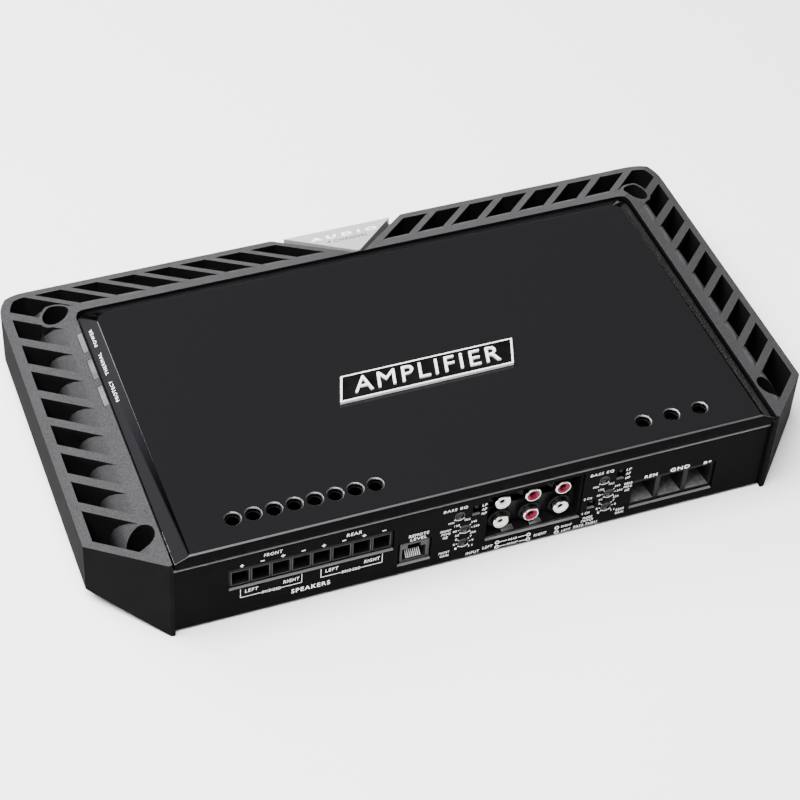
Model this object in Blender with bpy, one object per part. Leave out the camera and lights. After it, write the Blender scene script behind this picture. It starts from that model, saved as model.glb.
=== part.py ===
"""Four-channel car amplifier: cast heatsink frame, gloss cover, connector panel and electronics.

Dimensions are in millimetres, and each mesh is scaled to metres as its object is made. The origin is
on the floor under the middle of the amplifier: +X is to the right along the connector panel, the
connectors face -Y, and +Z is up.
"""

import math

import bmesh
import bpy
from mathutils import Matrix, Vector

MM = 0.001

# Cast frame: its flanges slope down from the cover's edge to an upright rim.
FRONT_Y = -107.2
INNER_HALF = 155.0
INNER_BACK_Y = 70.8
FLANGE_SIDE = 33.6
FLANGE_BACK = 36.4
INNER_EDGE_Z = 51.3
RIM_TOP_Z = 37.7
RIM_BOTTOM_Z = 7.2
CHAMFER_DEPTH = 34.9
LEG_HALF = 156.6
CORNER_RADIUS = 15.0
OUTER_HALF = INNER_HALF + FLANGE_SIDE
BACK_Y = INNER_BACK_Y + FLANGE_BACK
CAVITY_HALF = 150.5
CAVITY_BACK_Y = 66.3
COVER_LEDGE_Z = 47.1
ABOVE = 62.0

# Pockets in the flanges, and the ribs between them.
RIM_SIDE = 4.8
RIM_BACK = 6.0
RIM_CHAMFER = 3.6
POCKET_FLOOR_Z = 10.0
RAMP_START = 0.135
RAMP_END = 0.545
RAMP_DROP = 16.0
RAMP_RAISE = 0.3
RAMP_STEPS = 6
RIB_THICKNESS = 4.0
RIB_LEAN = 1.1
SIDE_RIB_COUNT = 8
SIDE_RIB_FIRST_Y = 89.5
SIDE_RIB_PITCH = 19.8
BACK_RIB_COUNT = 8
BACK_RIB_FIRST_X = 170.4
BACK_RIB_PITCH = 19.65
BACK_RIB_Y = 100.0

# Seat for the badge: a wedge between the back pockets that stays solid.
SEAT_FRONT_HALF = 6.0
SEAT_BACK_HALF = 37.5
SEAT_REACH = 4.8

# Mounting wells, one in each corner of the flanges.
WELL_X = 163.5
WELL_FRONT_Y = -83.7
WELL_BACK_Y = 75.6
WELL_RADIUS = 6.8
WELL_WALL = 1.7
WELL_SEAT_Z = 6.0
MOUNT_HOLE_RADIUS = 2.75
FOOT_RADIUS = 8.4
FOOT_TOP_Z = 8.0

# Gloss cover, a 2 mm shell with bevels on three sides and a flush front edge.
COVER_GAP = 1.1
COVER_THICKNESS = 2.6
COVER_SKIRT_Z = 47.4
COVER_EDGE_Z = 50.6
COVER_TOP_Z = 54.5
COVER_BEVEL = 7.7
COVER_CORNER_RADIUS = 6.0
COVER_FRONT_CHAMFER = 0.9
ACCESS_RADIUS = 3.7
ACCESS_MOUTH_RADIUS = 4.4
ACCESS_CHAMFER = 0.7
ACCESS_LIP_RADIUS = 3.05
ACCESS_LIP_Z = 52.4

# Connector panel, a folded sheet recessed 2 mm behind the frame's front legs.
PANEL_HALF = 154.2
PANEL_FRONT_Y = -105.2
PANEL_THICKNESS = 1.6
PANEL_BOTTOM_Z = 1.5
PANEL_TOP_Z = 43.6
PANEL_RETURN_Y = -97.0
PANEL_BACK_Y = PANEL_FRONT_Y + PANEL_THICKNESS
GAP = 0.3

# Panel windows: (x0, z0, x1, z1) of each.
SPEAKER_WINDOW = (-127.5, 20.3, -44.8, 34.3)
REMOTE_WINDOW = (-42.5, 6.9, -25.1, 22.8)
PHONO_WINDOW = (3.2, 9.6, 53.8, 40.6)
POWER_WINDOW = (81.0, 6.8, 126.7, 26.4)

# Wire clamps. Each slot is a list of (y, width, height), and its screw stands above it.
NOSE_Y = PANEL_BACK_Y + GAP
BLOCK_TOP_Z = 41.6
BLOCK_OVERLAP = 1.4
SPEAKER_COUNT = 8
SPEAKER_FIRST_X = -121.3
SPEAKER_PITCH = 10.1
SPEAKER_SLOT_Z = 26.1
SPEAKER_SLOT = [(-104.8, 9.6, 9.8), (-102.4, 8.0, 8.2), (-88.0, 8.0, 8.2)]
SPEAKER_BACK_Y = -85.0
SPEAKER_SCREW_Y = -91.5
SPEAKER_SCREW = {"radius": 2.1, "low": 31.0, "high": 38.6}
POWER_NAMES = ("remote", "ground", "battery")
POWER_FIRST_X = 88.5
POWER_PITCH = 15.3
POWER_SLOT_Z = 15.8
POWER_SLOT = [(-104.3, 13.2, 15.0), (-95.5, 8.8, 9.8), (-83.0, 8.8, 9.8)]
POWER_BACK_Y = -79.0
POWER_SCREW_Y = -92.7
POWER_SCREW = {"radius": 3.3, "low": 22.0, "high": 37.5}
SCREW_CLEARANCE = 0.25

# Phono sockets: two rows of sleeves in a moulded tray, whose lower half is less deep.
PHONO_X = 28.5
PHONO_PITCH_X = 16.0
PHONO_ROWS_Z = (31.0, 17.0)
PHONO_SLEEVE_RADIUS = 4.2
PHONO_WALL = 0.75
PHONO_RIM_CHAMFER = 0.4
PHONO_FRONT_Y = -102.3
PHONO_BLOCK = ((2.0, NOSE_Y, 7.6), (55.0, -90.8, 41.6))
TRAY_HALF = 24.9
TRAY_LOW_Z = 10.0
TRAY_STEP_Z = 24.4
TRAY_HIGH_Z = 40.2
TRAY_DEEP_Y = -93.5
TRAY_STEP_Y = -97.0
COLLAR_RADIUS = 6.0
COLLAR_LENGTH = 2.6

# Modular socket for the wired remote control.
SOCKET_X = -33.0
SOCKET_HALF = 7.8
SOCKET_LOW_Z = 6.5
SOCKET_HIGH_Z = 20.6
SOCKET_BACK_Y = -90.0
SOCKET_CAVITY_SHIFT = -0.4
SOCKET_CAVITY = {"z": 12.4, "width": 11.8, "height": 7.6, "back_y": -92.0}
SOCKET_LATCH = {"z": 16.9, "width": 6.4, "height": 3.8, "back_y": -95.0}

# Level controls and switches, one set for the front channels and one for the rear.
CONTROL_X = {"front": -8.0, "rear": 68.2}
TRIMMERS = {"eq": (-3.4, 32.9), "frequency": (0.0, 22.6), "gain": (-0.4, 12.9)}
TRIMMER_RADIUS = 2.0
TRIMMER_CLEARANCE = 0.3
TRIMMER_BACK_Y = -99.9
TRIMMER_CAN_RADIUS = 3.5
CROSSOVER_SHIFT = 5.2
CROSSOVER_Z = 34.2
CROSSOVER_TRAVEL = 4.0
INPUT_SWITCH_X = 59.4
INPUT_SWITCH_Z = 17.2
INPUT_SWITCH_TRAVEL = 3.0
KNOB_HALF_HEIGHT = 1.1
KNOB_WIDTH = 3.6
SWITCH_SLOT_HALF = 2.1
SWITCH_BACK_Y = -96.5
CONTROL_FACE_Y = -104.8

# Badge and status windows.
BADGE_HALF = 30.5
BADGE_APEX_HALF = 1.0
BADGE_FRONT_Y = 72.2
BADGE_BACK_Y = 105.6
BADGE_DEPTH = 5.2
NOTCH_HALF = 35.4
NOTCH_FRONT_HALF = 3.2
NOTCH_FRONT_Y = 71.2
STATUS_NAMES = ("power", "thermal", "protect")
STATUS_FIRST_Y = 47.4
STATUS_PITCH = 19.6
STATUS_LENGTH = 14.0
STATUS_WIDTH = 2.5
STATUS_LOW_Z = 47.7

# Emblem: a plaque with slanted ends, on the cover.
EMBLEM_HALF = 47.0
EMBLEM_SLANT = 4.0
EMBLEM_Y = (-37.0, -20.0)
EMBLEM_THICKNESS = 1.6

# Bottom plate, held by countersunk screws in the frame's bosses.
PLATE_LOW_Z = 0.8
PLATE_HIGH_Z = 2.4
BOSS_X = 146.5
BOSS_FRONT_Y = -98.0
BOSS_BACK_Y = 62.3
BOSS_HALF = 4.0
BOSS_TOP_Z = 14.0
PILOT_RADIUS = 1.6
PILOT_TOP_Z = 11.0
COUNTERSINK = [(3.5, -2.0), (3.5, 1.0), (1.8, 2.6), (1.8, 5.0)]
BOTTOM_SCREW = [(3.0, 0.9), (1.4, 2.5), (1.4, 9.0)]

# Boards and the large components.
BOARD_LOW_Z = 4.6
BOARD_HIGH_Z = 6.2
MAIN_BOARD = ((-141.5, -101.0, BOARD_LOW_Z), (141.5, 60.0, BOARD_HIGH_Z))
CONTROL_BOARD = ((-20.0, -90.4, 8.0), (78.8, -88.8, 42.0))
COMPONENT_LOW_Z = BOARD_HIGH_Z + GAP
TOROID_PLACES = {"left": (-60.0, -20.0), "right": (95.0, -20.0)}
TOROID_RADII = (9.0, 12.0, 19.0, 22.0)
TOROID_HIGH_Z = 25.5
CAPACITOR_RADIUS = 11.0
CAPACITOR_HIGH_Z = 41.0
CAPACITOR_FIRST_X = -15.0
CAPACITOR_PITCH = 26.0
CAPACITOR_Y = 20.0
TRANSISTOR_COUNT = 8
TRANSISTOR_PITCH = 15.4
TRANSISTOR_WIDTH = 10.4
TRANSISTOR_Z = (16.0, 34.0)
TRANSISTOR_ROW_Y = (-70.0, 54.0)
CLAMP_Z = (22.0, 29.0)
CLAMP_Y = (-72.0, 52.0)


def clear_scene():
    for old in list(bpy.data.objects):
        bpy.data.objects.remove(old, do_unlink=True)


def make_material(name, color, metallic, roughness):
    material = bpy.data.materials.new(name)
    material.use_nodes = True
    shader = material.node_tree.nodes["Principled BSDF"]
    shader.inputs["Base Color"].default_value = (*color, 1.0)
    shader.inputs["Metallic"].default_value = metallic
    shader.inputs["Roughness"].default_value = roughness
    return material


def make_object(name, bm, material=None, place=(0.0, 0.0, 0.0), sharp_angle=30.0):
    """Turns a mesh in millimetres into an object in metres at place, which is in millimetres too."""
    bmesh.ops.remove_doubles(bm, verts=bm.verts, dist=1e-4)
    bmesh.ops.recalc_face_normals(bm, faces=bm.faces)
    bmesh.ops.transform(bm, matrix=Matrix.Scale(MM, 4), verts=bm.verts)
    mesh = bpy.data.meshes.new(name)
    bm.to_mesh(mesh)
    bm.free()
    mesh.shade_smooth()
    mesh.set_sharp_from_angle(angle=math.radians(sharp_angle))
    made = bpy.data.objects.new(name, mesh)
    bpy.context.scene.collection.objects.link(made)
    made.location = Vector(place) * MM
    if material:
        mesh.materials.append(material)
    return made


def make_helper(name, bm):
    """A solid that only cuts or joins another one."""
    helper = make_object(name, bm)
    helper.hide_render = True
    helper.display_type = "WIRE"
    return helper


def combine(target, helper, operation):
    modifier = target.modifiers.new(helper.name, "BOOLEAN")
    modifier.operation = operation
    modifier.solver = "EXACT"
    modifier.object = helper


def cut(target, name, bm):
    combine(target, make_helper(name, bm), "DIFFERENCE")


def unite(target, name, bm):
    combine(target, make_helper(name, bm), "UNION")


def add_loft(bm, rings):
    """Joins equal-length rings of points into one closed body, with a cap on each end."""
    loops = [[bm.verts.new(point) for point in ring] for ring in rings]
    for lower, upper in zip(loops, loops[1:]):
        for k in range(len(lower)):
            nxt = (k + 1) % len(lower)
            bm.faces.new((lower[k], lower[nxt], upper[nxt], upper[k]))
    bm.faces.new(list(reversed(loops[0])))
    bm.faces.new(loops[-1])


def add_prism(bm, outline, low, high):
    add_loft(bm, [[(x, y, z) for x, y in outline] for z in (low, high)])


def rectangle(x0, y0, x1, y1):
    return [(x0, y0), (x1, y0), (x1, y1), (x0, y1)]


def add_box(bm, low, high):
    add_prism(bm, rectangle(low[0], low[1], high[0], high[1]), low[2], high[2])


def circle(radius, steps, center=(0.0, 0.0)):
    turns = [2.0 * math.pi * k / steps for k in range(steps)]
    return [(center[0] + radius * math.cos(a), center[1] + radius * math.sin(a)) for a in turns]


def add_cylinder(bm, center, radius, low, high, steps=24):
    add_prism(bm, circle(radius, steps, center), low, high)


def add_cylinder_y(bm, x, z, radius, front_y, back_y, steps=20):
    ring = circle(radius, steps, (x, z))
    add_loft(bm, [[(cx, y, cz) for cx, cz in ring] for y in (back_y, front_y)])


def add_turned(bm, profile, steps=20, center=(0.0, 0.0)):
    """A solid turned about Z. The profile of (radius, height) starts and ends on flat discs."""
    add_loft(bm, [[(x, y, z) for x, y in circle(r, steps, center)] for r, z in profile])


def add_tapered_slot(bm, x, z, sections):
    """A slot along Y with a rectangular section. Each section is (y, width, height)."""
    rings = []
    for y, width, height in sections:
        corners = rectangle(x - width / 2, z - height / 2, x + width / 2, z + height / 2)
        rings.append([(cx, y, cz) for cx, cz in corners])
    add_loft(bm, rings)


def add_extrusion_x(bm, profile, x0, x1):
    add_loft(bm, [[(x, y, z) for y, z in profile] for x in (x0, x1)])


def stand_on_y(bm):
    """Turns a body built about Z so that its top faces -Y."""
    bmesh.ops.rotate(bm, verts=bm.verts, matrix=Matrix.Rotation(math.radians(90.0), 3, "X"))


def arc(center, radius, start, end, steps):
    angles = [math.radians(start + (end - start) * k / steps) for k in range(steps + 1)]
    return [(center[0] + radius * math.cos(a), center[1] + radius * math.sin(a)) for a in angles]


def slope_z(x, y):
    """Height of the flanges' top at a point: the lower of the side slope and the back slope."""
    side = (abs(x) - INNER_HALF) / FLANGE_SIDE
    back = (y - INNER_BACK_Y) / FLANGE_BACK
    return INNER_EDGE_Z - max(side, back, 0.0) * (INNER_EDGE_Z - RIM_TOP_Z)


def mirrored(points):
    """The half outline on the right, then the same points on the left in reverse order."""
    return points + [(-x, y) for x, y in reversed(points)]


def outer_outline():
    corner = (OUTER_HALF - CORNER_RADIUS, BACK_Y - CORNER_RADIUS)
    right = [(LEG_HALF, FRONT_Y), (OUTER_HALF, FRONT_Y + CHAMFER_DEPTH)]
    return mirrored(right + arc(corner, CORNER_RADIUS, 0.0, 90.0, 6))


def pocket_outline():
    """The inside of the rim, open towards the middle."""
    radius = CORNER_RADIUS - RIM_SIDE
    half = OUTER_HALF - RIM_SIDE
    corner = (half - radius, BACK_Y - RIM_BACK - radius)
    lean = CHAMFER_DEPTH / (OUTER_HALF - LEG_HALF)
    shift = RIM_CHAMFER * math.hypot(1.0, lean)
    front_y = FRONT_Y + CHAMFER_DEPTH - RIM_SIDE * lean + shift
    inner_y = front_y - lean * (half - INNER_HALF)
    right = [(INNER_HALF, inner_y), (half, front_y)]
    return mirrored(right + arc(corner, radius, 0.0, 90.0, 5))


def flange_envelope():
    """The frame's outer shape before anything is cut from it. It is convex."""
    bm = bmesh.new()
    add_prism(bm, outer_outline(), 0.0, ABOVE)
    drop = INNER_EDGE_Z - RIM_TOP_Z
    side = Vector((INNER_HALF, 0.0, 0.0))
    back = Vector((0.0, INNER_BACK_Y, 0.0))
    top = Vector((0.0, 0.0, INNER_EDGE_Z))
    planes = [
        (back + top, Vector((0.0, drop, FLANGE_BACK))),
        (back, Vector((0.0, RIM_BOTTOM_Z, -FLANGE_BACK))),
    ]
    for hand in (-1.0, 1.0):
        planes.append((side * hand + top, Vector((hand * drop, 0.0, FLANGE_SIDE))))
        planes.append((side * hand, Vector((hand * RIM_BOTTOM_Z, 0.0, -FLANGE_SIDE))))
    for point, normal in planes:
        geometry = bm.verts[:] + bm.edges[:] + bm.faces[:]
        bmesh.ops.bisect_plane(bm, geom=geometry, plane_co=point, plane_no=normal, clear_outer=True)
        bmesh.ops.contextual_create(bm, geom=[edge for edge in bm.edges if edge.is_boundary])
    return bm


def add_ramp_core(bm):
    """What stays solid inside the pockets: a block whose rounded shoulder runs out to the slope."""
    rings = []

    def ring(share, z):
        half = INNER_HALF + share * FLANGE_SIDE
        outline = rectangle(-half, FRONT_Y - 20.0, half, INNER_BACK_Y + share * FLANGE_BACK)
        rings.append([(x, y, z) for x, y in outline])

    drop = INNER_EDGE_Z - RIM_TOP_Z
    ring(RAMP_END, -5.0)
    for k in range(RAMP_STEPS, -1, -1):
        angle = math.radians(90.0) * k / RAMP_STEPS
        share = RAMP_START + (RAMP_END - RAMP_START) * math.sin(angle)
        ring(share, INNER_EDGE_Z - share * drop - RAMP_DROP * (1.0 - math.cos(angle)) + RAMP_RAISE)
    ring(0.0, INNER_EDGE_Z + RAMP_RAISE)
    ring(-0.5, ABOVE + 5.0)
    add_loft(bm, rings)


def add_rib(bm, through, hand):
    """One upright plate through a point, leaning back towards the rim."""
    along = Vector((-hand, -RIB_LEAN)).normalized()
    across = Vector((-along.y, along.x)) * (RIB_THICKNESS / 2.0)
    start = Vector(through) - along * 12.0
    end = Vector(through) + along * 45.0
    corners = [start - across, end - across, end + across, start + across]
    add_prism(bm, [tuple(corner) for corner in corners], -5.0, ABOVE + 5.0)


def rib_plates():
    bm = bmesh.new()
    for hand in (-1.0, 1.0):
        for k in range(SIDE_RIB_COUNT):
            y = SIDE_RIB_FIRST_Y - k * SIDE_RIB_PITCH
            add_rib(bm, (hand * (OUTER_HALF - RIM_SIDE), y), hand)
        for k in range(BACK_RIB_COUNT):
            x = BACK_RIB_FIRST_X - k * BACK_RIB_PITCH
            add_rib(bm, (hand * x, BACK_RIB_Y), hand)
    return bm


def flange_pockets():
    """The space of all pockets: inside the rim, outside the ramps, between the ribs."""
    space = bmesh.new()
    add_prism(space, pocket_outline(), POCKET_FLOOR_Z, ABOVE)
    pockets = make_helper("flange_pockets", space)
    core = bmesh.new()
    add_ramp_core(core)
    cut(pockets, "ramp_core", core)
    cut(pockets, "rib_plates", rib_plates())
    seat = bmesh.new()
    front_y, back_y = INNER_BACK_Y - SEAT_REACH, BACK_Y + SEAT_REACH
    outline = mirrored([(SEAT_FRONT_HALF, front_y), (SEAT_BACK_HALF, back_y)])
    add_prism(seat, outline, -5.0, ABOVE + 5.0)
    cut(pockets, "badge_seat", seat)
    wells = bmesh.new()
    for x in (-WELL_X, WELL_X):
        add_cylinder(wells, (x, WELL_BACK_Y), WELL_RADIUS + WELL_WALL, -5.0, ABOVE + 5.0)
    cut(pockets, "well_walls", wells)
    return pockets


def well_places():
    return [(x, y) for y in (WELL_FRONT_Y, WELL_BACK_Y) for x in (-WELL_X, WELL_X)]


def boss_places():
    return [(x, y) for y in (BOSS_FRONT_Y, BOSS_BACK_Y) for x in (-BOSS_X, BOSS_X)]


def frame_cavity(frame):
    """The room for the electronics, and the rebates that the cover and the panel sit in."""
    cavity = bmesh.new()
    add_box(cavity, (-CAVITY_HALF, FRONT_Y - 10.0, -5.0), (CAVITY_HALF, CAVITY_BACK_Y, ABOVE + 5.0))
    cut(frame, "cavity", cavity)
    rebate = bmesh.new()
    add_prism(rebate, cover_outline(0.0, 0.0, FRONT_Y - 10.0), COVER_LEDGE_Z, ABOVE + 5.0)
    cut(frame, "cover_rebate", rebate)
    recess = bmesh.new()
    half = PANEL_HALF + GAP
    profile = [
        (FRONT_Y - 10.0, -5.0),
        (PANEL_BACK_Y + GAP, -5.0),
        (PANEL_BACK_Y + GAP, PANEL_TOP_Z - PANEL_THICKNESS - GAP),
        (PANEL_RETURN_Y + GAP, PANEL_TOP_Z - PANEL_THICKNESS - GAP),
        (PANEL_RETURN_Y + GAP, ABOVE),
        (FRONT_Y - 10.0, ABOVE),
    ]
    add_extrusion_x(recess, profile, -half, half)
    cut(frame, "panel_recess", recess)


def status_box(k, margin, low_z):
    """The corners of one status window, widened by margin."""
    y = STATUS_FIRST_Y - k * STATUS_PITCH
    half = STATUS_LENGTH / 2.0 + margin
    low = (-INNER_HALF - STATUS_WIDTH - margin, y - half, low_z)
    return low, (-INNER_HALF - GAP / 2.0 + margin * 2.0, y + half, ABOVE)


def screw_bosses():
    """Blocks in the cavity's corners that take the bottom plate's screws."""
    bm = bmesh.new()
    for x, y in boss_places():
        hand = math.copysign(1.0, x)
        inner, outer = sorted((x - hand * BOSS_HALF, hand * (CAVITY_HALF + 2.0)))
        far_y = CAVITY_BACK_Y + 2.0 if y > 0.0 else y + BOSS_HALF
        add_box(bm, (inner, y - BOSS_HALF, PLATE_HIGH_Z + GAP), (outer, far_y, BOSS_TOP_Z))
    return bm


def heatsink_frame(material):
    frame = make_object("heatsink_frame", flange_envelope(), material)
    feet = bmesh.new()
    for place in well_places():
        add_cylinder(feet, place, FOOT_RADIUS, 0.0, FOOT_TOP_Z)
    unite(frame, "feet", feet)
    frame_cavity(frame)
    unite(frame, "screw_bosses", screw_bosses())
    combine(frame, flange_pockets(), "DIFFERENCE")
    wells = bmesh.new()
    shaft = [(MOUNT_HOLE_RADIUS, -5.0), (MOUNT_HOLE_RADIUS, WELL_SEAT_Z)]
    well = [(WELL_RADIUS, WELL_SEAT_Z), (WELL_RADIUS, ABOVE)]
    for place in well_places():
        add_turned(wells, shaft + well, 24, place)
    cut(frame, "mounting_wells", wells)
    pilots = bmesh.new()
    for place in boss_places():
        add_cylinder(pilots, place, PILOT_RADIUS, -5.0, PILOT_TOP_Z, 12)
    cut(frame, "pilot_holes", pilots)
    windows = bmesh.new()
    for k in range(len(STATUS_NAMES)):
        add_box(windows, *status_box(k, GAP, STATUS_LOW_Z - GAP))
    cut(frame, "status_notches", windows)
    notch = bmesh.new()
    low = -BADGE_DEPTH - GAP
    add_slope_wedge(notch, NOTCH_HALF, NOTCH_FRONT_HALF, NOTCH_FRONT_Y, BACK_Y + 3.0, low, 20.0)
    cut(frame, "badge_notch", notch)


def add_slope_wedge(bm, back_half, front_half, front_y, back_y, low, high):
    """A trapezoid that follows the back flange's slope, between two heights from it.

    It is back_half wide each way at the badge's back edge, and runs on to back_y at the same slant.
    """
    reach = back_half * (back_y - front_y) / (BADGE_BACK_Y - front_y)
    outline = [(-front_half, front_y), (front_half, front_y), (reach, back_y), (-reach, back_y)]
    add_loft(bm, [[(x, y, slope_z(0.0, y) + lift) for x, y in outline] for lift in (low, high)])


def rear_badge(material):
    bm = bmesh.new()
    add_slope_wedge(bm, BADGE_HALF, BADGE_APEX_HALF, BADGE_FRONT_Y, BADGE_BACK_Y, -BADGE_DEPTH, 0.4)
    make_object("rear_badge", bm, material)


def status_lenses(material):
    for k, name in enumerate(STATUS_NAMES):
        low, high = status_box(k, 0.0, STATUS_LOW_Z)
        outline = rectangle(low[0], low[1], high[0], high[1])
        base = [(x, y, STATUS_LOW_Z) for x, y in outline]
        bm = bmesh.new()
        add_loft(bm, [base, [(x, y, slope_z(x, y)) for x, y in outline]])
        make_object(name + "_status_lens", bm, material)


def cover_outline(margin, bevel, front_y):
    """The cover's plan, set in from the frame's inner edge by margin and bevel, with round back corners."""
    half = INNER_HALF - margin - bevel
    back_y = INNER_BACK_Y - margin - bevel
    corner = (half - COVER_CORNER_RADIUS, back_y - COVER_CORNER_RADIUS)
    return mirrored([(half, front_y)] + arc(corner, COVER_CORNER_RADIUS, 0.0, 90.0, 4))


def speaker_places():
    return [(SPEAKER_FIRST_X + k * SPEAKER_PITCH, SPEAKER_SCREW_Y) for k in range(SPEAKER_COUNT)]


def power_places():
    return [(POWER_FIRST_X + k * POWER_PITCH, POWER_SCREW_Y) for k in range(len(POWER_NAMES))]


def top_cover(material):
    bm = bmesh.new()
    chamfer_low = COVER_TOP_Z - COVER_FRONT_CHAMFER
    inset = COVER_BEVEL * (chamfer_low - COVER_EDGE_Z) / (COVER_TOP_Z - COVER_EDGE_Z)
    rings = []
    for bevel, setback, z in (
        (0.0, 0.0, COVER_SKIRT_Z),
        (0.0, 0.0, COVER_EDGE_Z),
        (inset, 0.0, chamfer_low),
        (COVER_BEVEL, COVER_FRONT_CHAMFER, COVER_TOP_Z),
    ):
        rings.append([(x, y, z) for x, y in cover_outline(COVER_GAP, bevel, FRONT_Y + setback)])
    add_loft(bm, rings)
    bmesh.ops.recalc_face_normals(bm, faces=bm.faces)
    bottom = [face for face in bm.faces if face.normal.z < -0.9]
    bmesh.ops.delete(bm, geom=bottom, context="FACES_ONLY")
    cover = make_object("top_cover", bm, material)
    shell = cover.modifiers.new("thickness", "SOLIDIFY")
    shell.thickness = COVER_THICKNESS * MM
    shell.offset = -1.0
    shell.use_even_offset = True
    holes = bmesh.new()
    lip = [(ACCESS_LIP_RADIUS, COVER_SKIRT_Z), (ACCESS_LIP_RADIUS, ACCESS_LIP_Z)]
    bore = [(ACCESS_RADIUS, ACCESS_LIP_Z), (ACCESS_RADIUS, COVER_TOP_Z - ACCESS_CHAMFER)]
    mouth = [(ACCESS_MOUTH_RADIUS, COVER_TOP_Z + 0.1), (ACCESS_MOUTH_RADIUS, ABOVE)]
    for place in speaker_places() + power_places():
        add_turned(holes, lip + bore + mouth, 24, place)
    cut(cover, "access_holes", holes)


def emblem_plate(material):
    """A plain plaque with slanted ends in the middle of the cover."""
    low_y, high_y = EMBLEM_Y
    left, right = -EMBLEM_HALF + EMBLEM_SLANT / 4, EMBLEM_HALF - EMBLEM_SLANT / 4
    lean = EMBLEM_SLANT * 0.75
    outline = [(left - lean, low_y), (right - lean, low_y), (right + lean, high_y), (left + lean, high_y)]
    low = COVER_TOP_Z + GAP
    bm = bmesh.new()
    add_prism(bm, outline, low, low + EMBLEM_THICKNESS)
    make_object("emblem_plate", bm, material)


def bottom_plate(material):
    bm = bmesh.new()
    low = (-CAVITY_HALF + GAP, PANEL_BACK_Y + GAP, PLATE_LOW_Z)
    add_box(bm, low, (CAVITY_HALF - GAP, CAVITY_BACK_Y - GAP, PLATE_HIGH_Z))
    plate = make_object("bottom_plate", bm, material)
    holes = bmesh.new()
    for place in boss_places():
        add_turned(holes, COUNTERSINK, 16, place)
    cut(plate, "countersinks", holes)


def bottom_screws(material):
    for k, (x, y) in enumerate(boss_places()):
        bm = bmesh.new()
        add_turned(bm, BOTTOM_SCREW, 16)
        screw = make_object(f"bottom_plate_screw_{k + 1}", bm, material, (x, y, 0.0))
        recess = bmesh.new()
        add_box(recess, (x - 1.8, y - 0.35, 0.0), (x + 1.8, y + 0.35, 1.7))
        cut(screw, f"bottom_screw_slot_{k + 1}", recess)


def trimmer_names():
    return [(side, kind) for side in CONTROL_X for kind in TRIMMERS]


def trimmer_place(side, kind):
    shift, z = TRIMMERS[kind]
    return CONTROL_X[side] + shift, z


def switch_window(x, z, travel):
    """The slot in the panel that a slide switch's knob moves in."""
    reach = KNOB_HALF_HEIGHT + travel / 2.0 + GAP
    return x - SWITCH_SLOT_HALF, z - reach, x + SWITCH_SLOT_HALF, z + reach


def front_panel(material):
    """The folded sheet, with a cut-out for each connector and control."""
    inside_y, inside_z = PANEL_BACK_Y, PANEL_TOP_Z - PANEL_THICKNESS
    fold = arc((PANEL_FRONT_Y + 1.2, PANEL_TOP_Z - 1.2), 1.2, 180.0, 90.0, 4)
    shelf = [(PANEL_RETURN_Y, PANEL_TOP_Z), (PANEL_RETURN_Y, inside_z), (inside_y, inside_z)]
    profile = [(PANEL_FRONT_Y, PANEL_BOTTOM_Z)] + fold + shelf + [(inside_y, PANEL_BOTTOM_Z)]
    bm = bmesh.new()
    add_extrusion_x(bm, profile, -PANEL_HALF, PANEL_HALF)
    panel = make_object("front_panel", bm, material)
    windows = [SPEAKER_WINDOW, REMOTE_WINDOW, PHONO_WINDOW, POWER_WINDOW]
    for x in CONTROL_X.values():
        windows.append(switch_window(x + CROSSOVER_SHIFT, CROSSOVER_Z, CROSSOVER_TRAVEL))
    windows.append(switch_window(INPUT_SWITCH_X, INPUT_SWITCH_Z, INPUT_SWITCH_TRAVEL))
    holes = bmesh.new()
    front, back = PANEL_FRONT_Y - 3.0, PANEL_BACK_Y + 2.0
    for x0, z0, x1, z1 in windows:
        add_box(holes, (x0, front, z0), (x1, back, z1))
    for side, kind in trimmer_names():
        x, z = trimmer_place(side, kind)
        add_cylinder_y(holes, x, z, TRIMMER_RADIUS + TRIMMER_CLEARANCE, front, back, 16)
    cut(panel, "panel_cutouts", holes)


def terminal_block(name, material, window, slots, back_y):
    """A moulded block behind a panel window, reaching past its sides, with its wire slots cut."""
    low = (window[0] - BLOCK_OVERLAP, NOSE_Y, COMPONENT_LOW_Z)
    bm = bmesh.new()
    add_box(bm, low, (window[2] + BLOCK_OVERLAP, back_y, BLOCK_TOP_Z))
    block = make_object(name, bm, material)
    cut(block, name + "_slots", slots)
    return block


def clamp_screw(name, material, place, radius, low, high):
    """A set screw with a hexagon socket in its top. Its origin is at its lower end."""
    bm = bmesh.new()
    add_turned(bm, [(radius * 0.6, 0.0), (radius, radius * 0.35), (radius, high - low)], 16)
    screw = make_object(name, bm, material, (place[0], place[1], low))
    socket = bmesh.new()
    add_prism(socket, circle(radius * 0.55, 6, place), high - radius, high + 2.0)
    cut(screw, name + "_socket", socket)


def wire_clamps(block_name, screws, sizes, slot, plastic, metal):
    """A terminal block with one slot and one screw for each (screw name, place)."""
    slots = bmesh.new()
    bores = bmesh.new()
    for name, place in screws:
        add_tapered_slot(slots, place[0], slot["z"], slot["sections"])
        add_cylinder(bores, place, sizes["radius"] + SCREW_CLEARANCE, slot["z"], ABOVE, 16)
        clamp_screw(name, metal, place, **sizes)
    block = terminal_block(block_name, plastic, slot["window"], slots, slot["back_y"])
    cut(block, block_name + "_screw_bores", bores)


def speaker_terminals(plastic, metal):
    names = [f"speaker_clamp_screw_{k + 1}" for k in range(SPEAKER_COUNT)]
    slot = {"z": SPEAKER_SLOT_Z, "sections": SPEAKER_SLOT}
    slot.update(window=SPEAKER_WINDOW, back_y=SPEAKER_BACK_Y)
    screws = list(zip(names, speaker_places()))
    wire_clamps("speaker_terminal_block", screws, SPEAKER_SCREW, slot, plastic, metal)


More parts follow.
